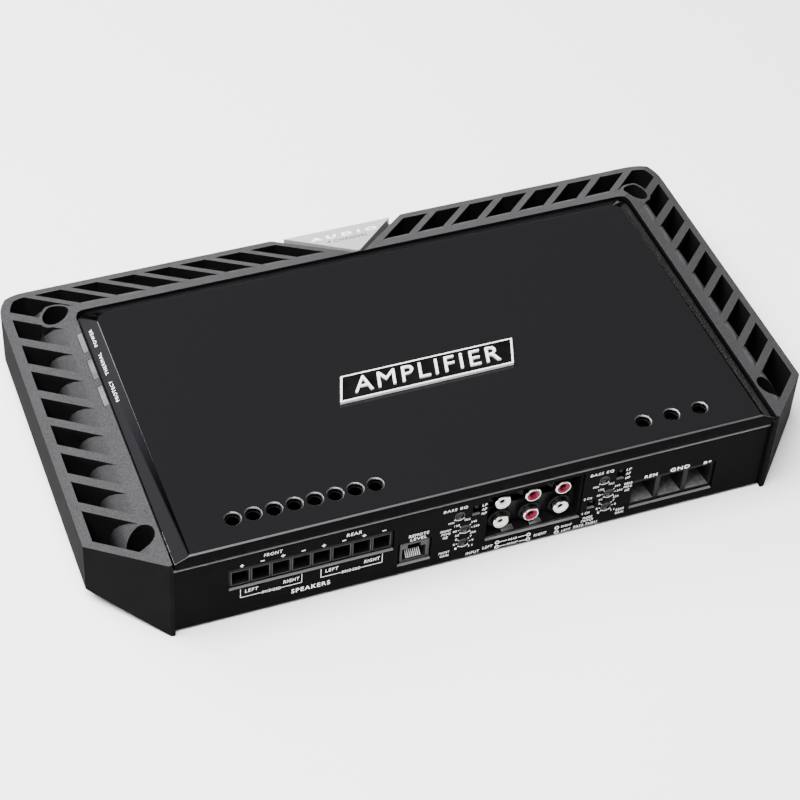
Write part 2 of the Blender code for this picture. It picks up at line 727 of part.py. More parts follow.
def power_terminals(plastic, metal):
    names = [name + "_clamp_screw" for name in POWER_NAMES]
    slot = {"z": POWER_SLOT_Z, "sections": POWER_SLOT}
    slot.update(window=POWER_WINDOW, back_y=POWER_BACK_Y)
    screws = list(zip(names, power_places()))
    wire_clamps("power_terminal_block", screws, POWER_SCREW, slot, plastic, metal)


def phono_places():
    """(x, z, depth of the tray there) of each socket, the upper row first."""
    columns = [PHONO_X + (k - 1) * PHONO_PITCH_X for k in range(3)]
    rows = zip(PHONO_ROWS_Z, (TRAY_DEEP_Y, TRAY_STEP_Y))
    return [(x, z, back_y) for z, back_y in rows for x in columns]


def phono_sleeve(name, material, x, z, back_y):
    """A metal cup, open to the front."""
    bm = bmesh.new()
    length = back_y - PHONO_FRONT_Y
    radius = PHONO_SLEEVE_RADIUS
    rim = [(radius, length - PHONO_RIM_CHAMFER), (radius - PHONO_RIM_CHAMFER, length)]
    add_turned(bm, [(radius, 0.0)] + rim, 24)
    stand_on_y(bm)
    sleeve = make_object(name, bm, material, (x, back_y, z))
    inside = bmesh.new()
    add_cylinder_y(inside, x, z, radius - PHONO_WALL, PHONO_FRONT_Y - 5.0, back_y - 1.0, 24)
    cut(sleeve, name + "_inside", inside)


def phono_sockets(plastic, metal):
    """A moulded tray with two rows of sockets. Each metal sleeve stands in its own collar."""
    bm = bmesh.new()
    add_box(bm, *PHONO_BLOCK)
    block = make_object("phono_block", bm, plastic)
    tray = bmesh.new()
    front_y = PANEL_FRONT_Y - 5.0
    lower = [(front_y, TRAY_LOW_Z), (TRAY_STEP_Y, TRAY_LOW_Z), (TRAY_STEP_Y, TRAY_STEP_Z)]
    upper = [(TRAY_DEEP_Y, TRAY_STEP_Z), (TRAY_DEEP_Y, TRAY_HIGH_Z), (front_y, TRAY_HIGH_Z)]
    add_extrusion_x(tray, lower + upper, PHONO_X - TRAY_HALF, PHONO_X + TRAY_HALF)
    cut(block, "phono_tray", tray)
    collars = bmesh.new()
    bores = bmesh.new()
    for k, (x, z, tray_y) in enumerate(phono_places()):
        add_cylinder_y(collars, x, z, COLLAR_RADIUS, tray_y - COLLAR_LENGTH, tray_y + 1.0)
        add_cylinder_y(bores, x, z, PHONO_SLEEVE_RADIUS + GAP, front_y, tray_y - 0.4)
        phono_sleeve(f"phono_sleeve_{k + 1}", metal, x, z, tray_y - 0.4 - GAP)
    unite(block, "phono_collars", collars)
    cut(block, "phono_bores", bores)


def remote_socket(plastic):
    bm = bmesh.new()
    low = (SOCKET_X - SOCKET_HALF, NOSE_Y, SOCKET_LOW_Z)
    add_box(bm, low, (SOCKET_X + SOCKET_HALF, SOCKET_BACK_Y, SOCKET_HIGH_Z))
    socket = make_object("remote_socket", bm, plastic)
    for name, way in (("cavity", SOCKET_CAVITY), ("latch_way", SOCKET_LATCH)):
        space = bmesh.new()
        sections = [(y, way["width"], way["height"]) for y in (PANEL_FRONT_Y - 5.0, way["back_y"])]
        add_tapered_slot(space, SOCKET_X + SOCKET_CAVITY_SHIFT, way["z"], sections)
        cut(socket, "remote_socket_" + name, space)


def trimmer_bank(side, material):
    """Three round cans on one carrier strip, behind the panel."""
    bm = bmesh.new()
    x0 = CONTROL_X[side]
    add_box(bm, (x0 - 6.6, -96.5, 8.0), (x0 + 1.2, -91.0, 38.0))
    bank = make_object("trimmer_bank_" + side, bm, material)
    cans = bmesh.new()
    bores = bmesh.new()
    for kind in TRIMMERS:
        x, z = trimmer_place(side, kind)
        add_cylinder_y(cans, x, z, TRIMMER_CAN_RADIUS, NOSE_Y, -95.5, 16)
        radius = TRIMMER_RADIUS + TRIMMER_CLEARANCE
        add_cylinder_y(bores, x, z, radius, PANEL_FRONT_Y - 5.0, TRIMMER_BACK_Y + GAP, 16)
    unite(bank, "trimmer_cans_" + side, cans)
    cut(bank, "trimmer_bores_" + side, bores)


def trimmer_rotors(material):
    """Screwdriver-slot rotors. Each has its origin on its axis, at its inner end."""
    for side, kind in trimmer_names():
        x, z = trimmer_place(side, kind)
        bm = bmesh.new()
        length = TRIMMER_BACK_Y - CONTROL_FACE_Y
        rim = [(TRIMMER_RADIUS, length - 0.3), (TRIMMER_RADIUS - 0.3, length)]
        add_turned(bm, [(TRIMMER_RADIUS, 0.0)] + rim, 16)
        stand_on_y(bm)
        name = f"{side}_{kind}_trimmer"
        rotor = make_object(name, bm, material, (x, TRIMMER_BACK_Y, z))
        slot = bmesh.new()
        low = (x - 1.5, CONTROL_FACE_Y - 1.0, z - 0.3)
        add_box(slot, low, (x + 1.5, CONTROL_FACE_Y + 0.8, z + 0.3))
        cut(rotor, name + "_slot", slot)


def slide_switch(name, x, z, travel, material):
    """A switch body behind the panel, and its knob at the top of the slot."""
    x0, z0, x1, z1 = switch_window(x, z, travel)
    bm = bmesh.new()
    add_box(bm, (x0 - 1.1, NOSE_Y, z0 - 1.2), (x1 + 1.1, SWITCH_BACK_Y, z1 + 1.2))
    body = make_object(name + "_switch", bm, material)
    pocket = bmesh.new()
    add_box(pocket, (x0, PANEL_FRONT_Y - 5.0, z0), (x1, -99.9, z1))
    cut(body, name + "_switch_pocket", pocket)
    height = 2.0 * KNOB_HALF_HEIGHT
    base = [(-100.2, KNOB_WIDTH, height), (-102.6, KNOB_WIDTH, height)]
    stem = [(-102.7, 1.8, 1.8), (CONTROL_FACE_Y, 1.6, 1.6)]
    knob = bmesh.new()
    add_tapered_slot(knob, 0.0, 0.0, base + stem)
    make_object(name + "_slider", knob, material, (x, 0.0, z + travel / 2.0))


def circuit_boards(material):
    for name, corners in (("main_board", MAIN_BOARD), ("control_board", CONTROL_BOARD)):
        bm = bmesh.new()
        add_box(bm, *corners)
        make_object(name, bm, material)


def power_transformers(material):
    """Toroids wound on ring cores: a turned ring standing on the main board."""
    inner, low_inner, low_outer, outer = TOROID_RADII
    low, high = COMPONENT_LOW_Z, TOROID_HIGH_Z
    under = [(inner, low + 2.5), (low_inner, low), (low_outer, low), (outer, low + 3.0)]
    over = [(outer, high - 3.0), (low_outer, high), (low_inner, high), (inner, high - 2.5)]
    steps = 20
    for name, (x, y) in TOROID_PLACES.items():
        bm = bmesh.new()
        rings = [[bm.verts.new((*point, z)) for point in circle(r, steps)] for r, z in under + over]
        for ring, upper in zip(rings, rings[1:] + rings[:1]):
            for j in range(steps):
                nxt = (j + 1) % steps
                bm.faces.new((ring[j], ring[nxt], upper[nxt], upper[j]))
        make_object("power_transformer_" + name, bm, material, (x, y, 0.0))


def rail_capacitors(material):
    low, high, radius = COMPONENT_LOW_Z, CAPACITOR_HIGH_Z, CAPACITOR_RADIUS
    profile = [(radius - 0.6, low), (radius, low + 0.8), (radius, high - 0.8), (radius - 1.0, high)]
    for k in range(4):
        bm = bmesh.new()
        add_turned(bm, profile, 20)
        x = CAPACITOR_FIRST_X + k * CAPACITOR_PITCH
        make_object(f"rail_capacitor_{k + 1}", bm, material, (x, CAPACITOR_Y, 0.0))


def output_devices(plastic, metal):
    """Rows of transistors against the frame's side walls, each under a clamp bar."""
    wall = CAVITY_HALF - GAP
    strip, face = wall - 1.0, wall - 5.0
    row = [(wall, TRANSISTOR_ROW_Y[0]), (wall, TRANSISTOR_ROW_Y[1])]
    for k in range(TRANSISTOR_COUNT):
        y = TRANSISTOR_ROW_Y[1] - 4.0 - k * TRANSISTOR_PITCH
        low_y = y - TRANSISTOR_WIDTH
        row += [(strip, y), (face, y), (face, low_y), (strip, low_y)]
    row.append((strip, TRANSISTOR_ROW_Y[0]))
    for name, hand in (("left", -1.0), ("right", 1.0)):
        bm = bmesh.new()
        add_prism(bm, [(hand * x, y) for x, y in row], *TRANSISTOR_Z)
        make_object("transistor_row_" + name, bm, plastic)
        inner, outer = sorted((hand * (face - 3.0), hand * (face - GAP)))
        bar = bmesh.new()
        add_box(bar, (inner, CLAMP_Y[0], CLAMP_Z[0]), (outer, CLAMP_Y[1], CLAMP_Z[1]))
        make_object("transistor_clamp_" + name, bar, metal)


def build():
    clear_scene()
    cast = make_material("cast_black", (0.035, 0.036, 0.038), 0.3, 0.45)
    gloss = make_material("gloss_black", (0.008, 0.008, 0.009), 0.0, 0.08)
    satin = make_material("satin_black", (0.015, 0.015, 0.016), 0.0, 0.4)
    moulded = make_material("moulded_black", (0.025, 0.025, 0.026), 0.0, 0.5)
    silver = make_material("silver", (0.75, 0.76, 0.78), 0.8, 0.3)
    steel = make_material("zinc_steel", (0.6, 0.6, 0.6), 1.0, 0.3)
    heatsink_frame(cast)
    top_cover(gloss)
    bottom_plate(satin)
    front_panel(satin)
    rear_badge(silver)
    emblem_plate(silver)
    status_lenses(make_material("clear_lens", (0.85, 0.86, 0.88), 0.0, 0.2))
    bottom_screws(steel)
    speaker_terminals(moulded, steel)
    power_terminals(moulded, steel)
    phono_sockets(moulded, steel)
    remote_socket(moulded)
    trimmer_rotors(moulded)
    for side, x in CONTROL_X.items():
        trimmer_bank(side, moulded)
        place = (x + CROSSOVER_SHIFT, CROSSOVER_Z)
        slide_switch(side + "_crossover", *place, CROSSOVER_TRAVEL, moulded)
    slide_switch("input_mode", INPUT_SWITCH_X, INPUT_SWITCH_Z, INPUT_SWITCH_TRAVEL, moulded)
    circuit_boards(make_material("board", (0.02, 0.09, 0.05), 0.0, 0.5))
    power_transformers(make_material("winding", (0.55, 0.25, 0.1), 0.7, 0.35))
    rail_capacitors(make_material("capacitor", (0.03, 0.03, 0.06), 0.0, 0.3))
    output_devices(moulded, steel)


build()
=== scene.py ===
"""Looks of the four-channel car amplifier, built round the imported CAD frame.

Sizes in the helpers are millimetres in the part's own frame, and each mesh is scaled to metres.
"""

import math

import bmesh
import bpy
from mathutils import Euler, Matrix, Vector


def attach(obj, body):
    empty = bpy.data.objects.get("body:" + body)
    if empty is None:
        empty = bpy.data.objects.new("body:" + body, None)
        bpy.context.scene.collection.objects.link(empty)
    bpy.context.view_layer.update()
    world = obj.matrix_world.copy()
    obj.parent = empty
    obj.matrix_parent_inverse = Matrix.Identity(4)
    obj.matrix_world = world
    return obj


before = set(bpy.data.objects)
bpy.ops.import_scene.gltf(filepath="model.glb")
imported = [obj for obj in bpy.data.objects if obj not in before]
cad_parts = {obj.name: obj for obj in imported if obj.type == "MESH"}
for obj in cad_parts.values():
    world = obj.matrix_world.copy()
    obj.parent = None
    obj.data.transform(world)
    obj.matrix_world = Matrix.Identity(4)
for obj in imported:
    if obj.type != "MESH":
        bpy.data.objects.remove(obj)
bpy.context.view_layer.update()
MM = 0.001

# Faces that pieces sit on, in millimetres.
PANEL_Y = -105.2
NOSE_Y = -103.3
EMBLEM_TOP = 56.4

# The emblem's plaque, which leans over by EMBLEM_LEAN each way, and what stands on it.
EMBLEM_Y = (-37.0, -20.0)
EMBLEM_HALF = 46.0
EMBLEM_LEAN = 3.0
EMBLEM_MARGIN = 0.9
INLAY_LIFT = 0.12
LETTER_DEPTH = 0.9

# The badge: the middle of its top edge, and the drop and run of the flange under it.
BADGE_TOP = (0.0, 70.8, 51.7)
BADGE_DROP = 51.3 - 37.7
BADGE_RUN = 36.4
BADGE_PRINT_DEPTH = 0.06

# Printed words and lines, in millimetres. The slant is a fraction of the height.
PRINT_DEPTH = 0.05
LABEL_SLANT = 0.1
ARC_STEPS = 14
RING_STEPS = 24

# The speaker slots, and the plus and minus signs above them.
SPEAKER_COUNT = 8
SPEAKER_PITCH = 10.1
SPEAKER_SLOT = (-121.3, 26.1)
SPEAKER_SIGN = (-121.0, 36.1)
SIGN_HALF = 0.95
SIGN_WIDTH = 0.48

TRIMMER_CENTRES = {
    "front": {"eq": (-11.4, 32.9), "frequency": (-8.0, 22.6), "gain": (-8.4, 12.9)},
    "rear": {"eq": (64.8, 32.9), "frequency": (68.2, 22.6), "gain": (67.8, 12.9)},
}
# Words round the trimmers, and the angle of each in degrees from +X towards +Z.
SCALE_ANGLES = (140.0, 182.0, 222.0, 42.0, 2.0, 318.0)
FREQUENCY_WORDS = ("120", "80", "50", "240", "330", "250")
GAIN_WORDS = ("5", "2", "1", "7", "9", "11")

# Phono sockets, row by row from the top.
PHONO_COLUMNS = (12.5, 28.5, 44.5)
PHONO_ROWS = (31.0, 17.0)
PHONO_FRONT_Y = -102.3
PHONO_COLORS = ("white", "red", "red", "white", "red", "white")
PHONO_INSULATOR_STEPS = 40
PHONO_CONTACT_STEPS = 24

# The cover's left bevel: its lower edge, its rise and run, and how far up it the words start.
BEVEL_FOOT = (-153.9, 0.0, 50.6)
BEVEL_RISE = 3.9
BEVEL_RUN = 7.7
STATUS_PRINT_START = 4.4

# Remote socket: the middle of its contacts, and the distance between them.
CONTACT_COUNT = 8
CONTACT_MIDDLE_X = -33.4
CONTACT_PITCH = 1.02
CONTACT_HALF = 0.14

# Edges sharper than this stay sharp, and faces that meet within it are smoothed.
SHARP_ANGLE = math.radians(35.0)
WELD_DISTANCE = 0.002
BEVEL_SEGMENTS = 2


# ---------------------------------------------------------------- materials


class Surface:
    """A Principled material whose colour, roughness and bump come from noise in object space."""

    def __init__(self, name, color, roughness, metallic=0.0, specular=0.5):
        self.material = bpy.data.materials.new(name)
        self.material.use_nodes = True
        self.tree = self.material.node_tree
        self.shader = self.tree.nodes["Principled BSDF"]
        self.place = self.tree.nodes.new("ShaderNodeTexCoord").outputs["Object"]
        self.shader.inputs["Base Color"].default_value = (*color, 1.0)
        self.shader.inputs["Roughness"].default_value = roughness
        self.shader.inputs["Metallic"].default_value = metallic
        self.shader.inputs["Specular IOR Level"].default_value = specular

    def node(self, kind, **settings):
        made = self.tree.nodes.new(kind)
        for key, value in settings.items():
            setattr(made, key, value)
        return made

    def link(self, output, target):
        self.tree.links.new(output, target)

    def noise(self, scale, stretch=(1.0, 1.0, 1.0), detail=3.0):
        mapping = self.node("ShaderNodeMapping")
        mapping.inputs["Scale"].default_value = stretch
        self.link(self.place, mapping.inputs["Vector"])
        noise = self.node("ShaderNodeTexNoise")
        noise.inputs["Scale"].default_value = scale
        noise.inputs["Detail"].default_value = detail
        self.link(mapping.outputs["Vector"], noise.inputs["Vector"])
        return noise.outputs["Fac"]

    def spread(self, value, low, high, start=0.3, end=0.7):
        """Maps noise to a range of numbers."""
        span = self.node("ShaderNodeMapRange")
        limits = {"From Min": start, "From Max": end, "To Min": low, "To Max": high}
        for key, number in limits.items():
            span.inputs[key].default_value = number
        self.link(value, span.inputs["Value"])
        return span.outputs["Result"]

    def blend(self, factor, first, second):
        """Mixes two colours, each a constant or an output, into the base colour."""
        mix = self.node("ShaderNodeMix", data_type="RGBA")
        self.link(factor, mix.inputs[0])
        for socket, value in ((mix.inputs[6], first), (mix.inputs[7], second)):
            if hasattr(value, "links"):
                self.link(value, socket)
            else:
                socket.default_value = (*value, 1.0)
        self.link(mix.outputs[2], self.shader.inputs["Base Color"])
        return mix.outputs[2]

    def mix_number(self, factor, first, second, target):
        """Mixes two numbers, each a constant or an output, into one of the shader's inputs."""
        mix = self.node("ShaderNodeMix", data_type="FLOAT")
        self.link(factor, mix.inputs[0])
        for socket, value in ((mix.inputs[2], first), (mix.inputs[3], second)):
            if hasattr(value, "links"):
                self.link(value, socket)
            else:
                socket.default_value = value
        self.link(mix.outputs[0], self.shader.inputs[target])
        return mix.outputs[0]

    def roughness(self, value, low, high):
        self.link(self.spread(value, low, high), self.shader.inputs["Roughness"])

    def bump(self, value, height, strength=1.0):
        """Raises the surface by height, in millimetres, where the value is 1."""
        bump = self.node("ShaderNodeBump")
        bump.inputs["Strength"].default_value = strength
        bump.inputs["Distance"].default_value = height * MM
        self.link(value, bump.inputs["Height"])
        self.link(bump.outputs["Normal"], self.shader.inputs["Normal"])

    def upward(self, stops, normal="True Normal"):
        """A mask from how far the surface turns upward. stops are (normal z, mask)."""
        split = self.node("ShaderNodeSeparateXYZ")
        geometry = self.node("ShaderNodeNewGeometry")
        self.link(geometry.outputs[normal], split.inputs["Vector"])
        ramp = self.node("ShaderNodeValToRGB")
        elements = ramp.color_ramp.elements
        elements.remove(elements[1])
        elements[0].position = stops[0][0]
        elements[0].color = (stops[0][1],) * 3 + (1.0,)
        for position, value in stops[1:]:
            elements.new(position).color = (value, value, value, 1.0)
        self.link(split.outputs["Z"], ramp.inputs["Fac"])
        return ramp.outputs["Color"]

    def facing_y(self, least):
        """1 where the true face turns to the front or the back by more than least."""
        split = self.node("ShaderNodeSeparateXYZ")
        geometry = self.node("ShaderNodeNewGeometry")
        self.link(geometry.outputs["True Normal"], split.inputs["Vector"])
        size = self.calculate("ABSOLUTE", split.outputs["Y"])
        return self.calculate("GREATER_THAN", size, least)

    def between(self, axis, low, high):
        """1 between two places along an axis, in millimetres."""
        split = self.node("ShaderNodeSeparateXYZ")
        self.link(self.place, split.inputs["Vector"])
        above = self.calculate("GREATER_THAN", split.outputs[axis], low * MM)
        below = self.calculate("LESS_THAN", split.outputs[axis], high * MM)
        return self.calculate("MULTIPLY", above, below)

    def calculate(self, operation, *values):
        """The result of a Math node. Each value is a number or an output."""
        made = self.node("ShaderNodeMath", operation=operation)
        for socket, value in zip(made.inputs, values):
            if hasattr(value, "links"):
                self.link(value, socket)
            else:
                socket.default_value = value
        return made.outputs[0]


def cast_black():
    """Powder coat, with painted top light: the faces that look up are painted paler as if lit
    from above.
    """
    surface = Surface("cast_black", (0.012, 0.012, 0.013), 0.42, 0.0, 0.05)
    patches = surface.noise(45.0)
    grain = surface.noise(1500.0, detail=2.0)
    # Painted top light: a mask of the faces that look up, which take a paler colour.
    painted_light_mix = surface.upward([(0.0, 0.0), (0.2, 0.0), (0.55, 1.0)], "Normal")
    mottled = surface.spread(grain, 0.0, 1.0)
    lit_top_speckle = surface.blend(mottled, (0.016, 0.016, 0.017), (0.040, 0.040, 0.042))
    clouded = surface.spread(patches, 0.0, 1.0)
    coat = surface.blend(clouded, (0.002, 0.002, 0.002), (0.004, 0.004, 0.004))
    # The faces that look up take the paler speckled colour, which is painted top light.
    surface.blend(painted_light_mix, coat, lit_top_speckle)
    surface.mix_number(painted_light_mix, 0.95, surface.spread(patches, 0.40, 0.50), "Roughness")
    surface.bump(grain, 0.035, 0.7)
    return surface.material


def gloss_black():
    """Lacquer: the bevels hardly reflect, and the holes and front edge are cut bright."""
    surface = Surface("gloss_black", (0.004, 0.004, 0.005), 0.07, 0.0, 0.5)
    peel = surface.noise(130.0, detail=1.0)
    haze = surface.noise(18.0)
    bevel = surface.upward([(0.0, 1.0), (0.96, 1.0), (0.99, 0.0)])
    cut = surface.upward([(0.0, 0.0), (0.56, 0.0), (0.6, 1.0), (0.8, 1.0), (0.85, 0.0)])
    cut = surface.calculate("MULTIPLY", cut, surface.between("Y", -108.0, -86.0))
    base = surface.blend(bevel, (0.0045, 0.0045, 0.005), (0.0025, 0.0025, 0.003))
    surface.blend(cut, base, (0.30, 0.30, 0.31))
    gloss = surface.mix_number(bevel, surface.spread(haze, 0.055, 0.095), 0.25, "Roughness")
    end_bevel = surface.calculate("MULTIPLY", bevel, surface.facing_y(0.3))
    gloss = surface.mix_number(end_bevel, gloss, 0.9, "Roughness")
    surface.mix_number(cut, gloss, 0.34, "Roughness")
    surface.mix_number(bevel, 0.0, 1.0, "Metallic")
    surface.bump(peel, 0.002, 0.05)
    return surface.material


def panel_black():
    """Painted sheet. Its cut edges that face up and its fold are painted pale and metallic: bare
    metal at the cut edges, and a painted highlight where they face up and along the fold.
    """
    surface = Surface("panel_black", (0.008, 0.008, 0.008), 0.4, 0.0, 0.01)
    patches = surface.noise(60.0)
    grain = surface.noise(2600.0, detail=2.0)
    # Cut edges that face up: pale as bare metal and as a painted highlight.
    edge = surface.upward([(0.0, 0.0), (0.9, 0.0), (0.93, 1.0), (1.0, 1.0)])
    edge = surface.calculate("MULTIPLY", edge, surface.between("Z", 3.0, 42.0))
    # The fold: a painted highlight.
    fold = surface.upward([(0.0, 0.0), (0.25, 0.0), (0.4, 1.0), (0.95, 1.0), (0.99, 0.0)])
    fold = surface.calculate("MULTIPLY", fold, surface.between("Z", 42.2, 44.0))
    painted_edge_highlight = surface.calculate("MAXIMUM", edge, fold)
    clouded = surface.spread(patches, 0.0, 1.0)
    base = surface.blend(clouded, (0.0012, 0.0012, 0.0012), (0.0022, 0.0022, 0.0024))
    surface.blend(painted_edge_highlight, base, (0.25, 0.25, 0.26))
    surface.mix_number(painted_edge_highlight, surface.spread(patches, 0.34, 0.44), 0.45, "Roughness")
    surface.mix_number(painted_edge_highlight, 0.0, 0.7, "Metallic")
    surface.bump(grain, 0.02, 0.5)
    return surface.material


def plastic(name, dark, light, low, high, grain=1400.0, height=0.02, specular=0.4):
    """Two close colours in patches. low and high are the ends of its roughness."""
    surface = Surface(name, dark, low, 0.0, specular)
    patches = surface.noise(110.0)
    surface.blend(surface.spread(patches, 0.0, 1.0), dark, light)
    surface.roughness(patches, low, high)
    surface.bump(surface.noise(grain, detail=2.0), height, 0.5)
    return surface.material


def metal(name, dark, light, low, high, grain=400.0, height=0.01, metallic=1.0, brushed=1.0):
    """As plastic, but metallic. Its grain runs out along X where brushed is under 1."""
    surface = Surface(name, dark, low, metallic)
    lines = surface.noise(grain, (brushed, 1.0, 1.0))
    surface.blend(surface.spread(lines, 0.0, 1.0), dark, light)
    surface.roughness(lines, low, high)
    surface.bump(lines, height, 0.4)
    return surface.material


def winding():
    """Lacquered copper wire, wound round the ring."""
    surface = Surface("copper_winding", (0.55, 0.22, 0.08), 0.3, 0.9)
    wave = surface.node("ShaderNodeTexWave", wave_type="BANDS", bands_direction="Z")
    wave.inputs["Scale"].default_value = 160.0
    wave.inputs["Distortion"].default_value = 2.0
    surface.link(surface.place, wave.inputs["Vector"])
    surface.blend(wave.outputs["Fac"], (0.28, 0.09, 0.03), (0.72, 0.34, 0.14))
    surface.roughness(wave.outputs["Fac"], 0.25, 0.4)
    surface.bump(wave.outputs["Fac"], 0.25, 0.6)
    return surface.material


def board_green():
    surface = Surface("board_green", (0.01, 0.09, 0.04), 0.35)
    tracks = surface.node("ShaderNodeTexBrick")
    tracks.inputs["Scale"].default_value = 90.0
    tracks.inputs["Mortar Size"].default_value = 0.06
    surface.link(surface.place, tracks.inputs["Vector"])
    surface.blend(tracks.outputs["Fac"], (0.008, 0.07, 0.03), (0.03, 0.16, 0.07))
    surface.roughness(surface.noise(200.0), 0.3, 0.42)
    surface.bump(tracks.outputs["Fac"], 0.03, 0.5)
    return surface.material


def floor_material():
    surface = Surface("studio_floor", (0.9, 0.9, 0.9), 0.9, 0.0, 0.0)
    patches = surface.noise(3.0)
    surface.blend(surface.spread(patches, 0.0, 1.0), (0.90, 0.90, 0.90), (0.915, 0.915, 0.915))
    return surface.material


def painted_top_light_black():
    """Moulded plastic, with painted top light: the faces that look up are painted paler as if lit
    from above.
    """
    surface = Surface("painted_top_light_black", (0.01, 0.01, 0.01), 0.4, 0.0, 0.08)
    patches = surface.noise(110.0)
    # Painted top light: a mask of the faces that look up.
    painted_top_light = surface.upward([(0.0, 0.0), (0.3, 0.0), (0.6, 1.0)])
    clouded = surface.spread(patches, 0.0, 1.0)
    base = surface.blend(clouded, (0.003, 0.003, 0.003), (0.006, 0.006, 0.006))
    painted_light_mix = surface.spread(surface.noise(500.0), 0.0, 1.0)
    painted_top_light_grey = surface.blend(painted_light_mix, (0.05, 0.05, 0.05), (0.10, 0.10, 0.10))
    surface.blend(painted_top_light, base, painted_top_light_grey)
    surface.roughness(patches, 0.36, 0.5)
    surface.bump(surface.noise(1400.0, detail=2.0), 0.02, 0.5)
    return surface.material


def grey(value):
    return (value, value, value)


LOOK = {
    "cast": cast_black(),
    "gloss": gloss_black(),
    "panel": panel_black(),
    # Moulded plastic with painted top light on the faces that look up.
    "painted_top_light": painted_top_light_black(),
    "winding": winding(),
    "board": board_green(),
    "floor": floor_material(),
    "plate": plastic("plate_black", grey(0.010), grey(0.018), 0.38, 0.5),
    "moulded": plastic("moulded_black", grey(0.003), grey(0.006), 0.36, 0.5, specular=0.08),
    # Pale grey: painted highlight on the speaker slot rims and trimmer rings, and the remote
    # socket's own pale face.
    "rim": plastic("slot_rim_grey", grey(0.020), grey(0.034), 0.3, 0.42, specular=0.2),
    "socket": plastic("socket_grey", grey(0.006), grey(0.010), 0.4, 0.55, specular=0.2),
    "trimmer": plastic("trimmer_grey", grey(0.004), grey(0.008), 0.3, 0.45, specular=0.15),
    "white": plastic(
        "insulator_white", (0.78, 0.78, 0.76), (0.86, 0.86, 0.84), 0.25, 0.38, 900.0, 0.008
    ),
    "red": plastic(
        "insulator_red", (0.15, 0.0015, 0.018), (0.20, 0.003, 0.026), 0.3, 0.42, 900.0, 0.008, 0.2
    ),
    "ink": plastic("print_white", grey(0.88), grey(0.94), 0.5, 0.65, 3000.0, 0.005),
    "lens": plastic(
        "lens_frosted", (0.02, 0.02, 0.022), (0.10, 0.10, 0.105), 0.3, 0.5, 300.0, 0.02, 0.15
    ),
    "inlay": plastic("emblem_inlay", grey(0.001), grey(0.003), 0.3, 0.4, 900.0, 0.006, 0.1),
    "dark_print": plastic(
        "print_dark", (0.05, 0.05, 0.055), (0.09, 0.09, 0.095), 0.5, 0.6, 3000.0, 0.005
    ),
    "sleeve": plastic(
        "capacitor_sleeve", (0.012, 0.014, 0.04), (0.02, 0.022, 0.06), 0.25, 0.35
    ),
    "nickel": metal("nickel_plate", (0.62, 0.60, 0.56), (0.78, 0.77, 0.73), 0.14, 0.26),
    "steel": metal("zinc_steel", (0.45, 0.45, 0.46), (0.62, 0.62, 0.62), 0.28, 0.42),
    "screw": metal("black_oxide_steel", (0.05, 0.05, 0.055), (0.10, 0.10, 0.11), 0.3, 0.45),
    "tab": metal("tinned_steel", grey(0.10), grey(0.18), 0.3, 0.45),
    "satin": metal(
        "satin_silver", (0.80, 0.81, 0.82), (0.93, 0.94, 0.95), 0.26, 0.38, 400.0, 0.004, 0.2
    ),
    "brushed": metal(
        "brushed_silver",
        (0.52, 0.52, 0.53),
        (0.66, 0.66, 0.67),
        0.3,
        0.42,
        grain=1500.0,
        height=0.008,
        metallic=0.6,
        brushed=0.05,
    ),
}

NODE_LOOKS = {
    "heatsink_frame": "cast",
    "top_cover": "gloss",
    "front_panel": "panel",
    "bottom_plate": "plate",
    "rear_badge": "brushed",
    "emblem_plate": "satin",
    "remote_socket": "socket",
    # The power block's moulded plastic has painted top light on its faces that look up.
    "power_terminal_block": "painted_top_light",
    "main_board": "board",
    "control_board": "board",
}
PREFIX_LOOKS = (
    ("bottom_plate_screw", "steel"),
    ("transistor_clamp", "steel"),
    ("power_transformer", "winding"),
    ("rail_capacitor", "sleeve"),
    ("phono_sleeve", "nickel"),
)
SUFFIX_LOOKS = (("_status_lens", "lens"), ("_trimmer", "trimmer"), ("clamp_screw", "screw"))


def look_of(name):
    """The look of a CAD part: by its whole name, its start, any ending in it, or else moulded."""
    if name in NODE_LOOKS:
        return NODE_LOOKS[name]
    for prefix, look in PREFIX_LOOKS:
        if name.startswith(prefix):
            return look
    for suffix, look in SUFFIX_LOOKS:
        if suffix in name:
            return look
    return "moulded"


# Rounding of each part's edges, in millimetres.
EDGE_ROUNDING = {
    "heatsink_frame": 0.45,
    "top_cover": 0.18,
    "front_panel": 0.15,
    "rear_badge": 0.25,
    "speaker_terminal_block": 0.25,
    "power_terminal_block": 0.4,
    "remote_socket": 0.25,
    "phono_block": 0.25,
}


def dress_nodes():
    """Gives each CAD part its material, rounds edges that show, and smooths curved faces."""
    for name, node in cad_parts.items():
        node.data.materials.clear()
        node.data.materials.append(LOOK[look_of(name)])
        node.data.shade_smooth()
        weld = node.modifiers.new("weld", "WELD")
        weld.merge_threshold = WELD_DISTANCE * MM
        if name not in EDGE_ROUNDING:
            split = node.modifiers.new("sharp_edges", "EDGE_SPLIT")
            split.split_angle = SHARP_ANGLE
            continue
        bevel = node.modifiers.new("edge_rounding", "BEVEL")
        bevel.width = EDGE_ROUNDING[name] * MM
        bevel.segments = BEVEL_SEGMENTS
        bevel.limit_method = "ANGLE"
        bevel.angle_limit = SHARP_ANGLE
        bevel.use_clamp_overlap = True
        node.modifiers.new("weighted_normals", "WEIGHTED_NORMAL")


# ---------------------------------------------------------------- mesh helpers


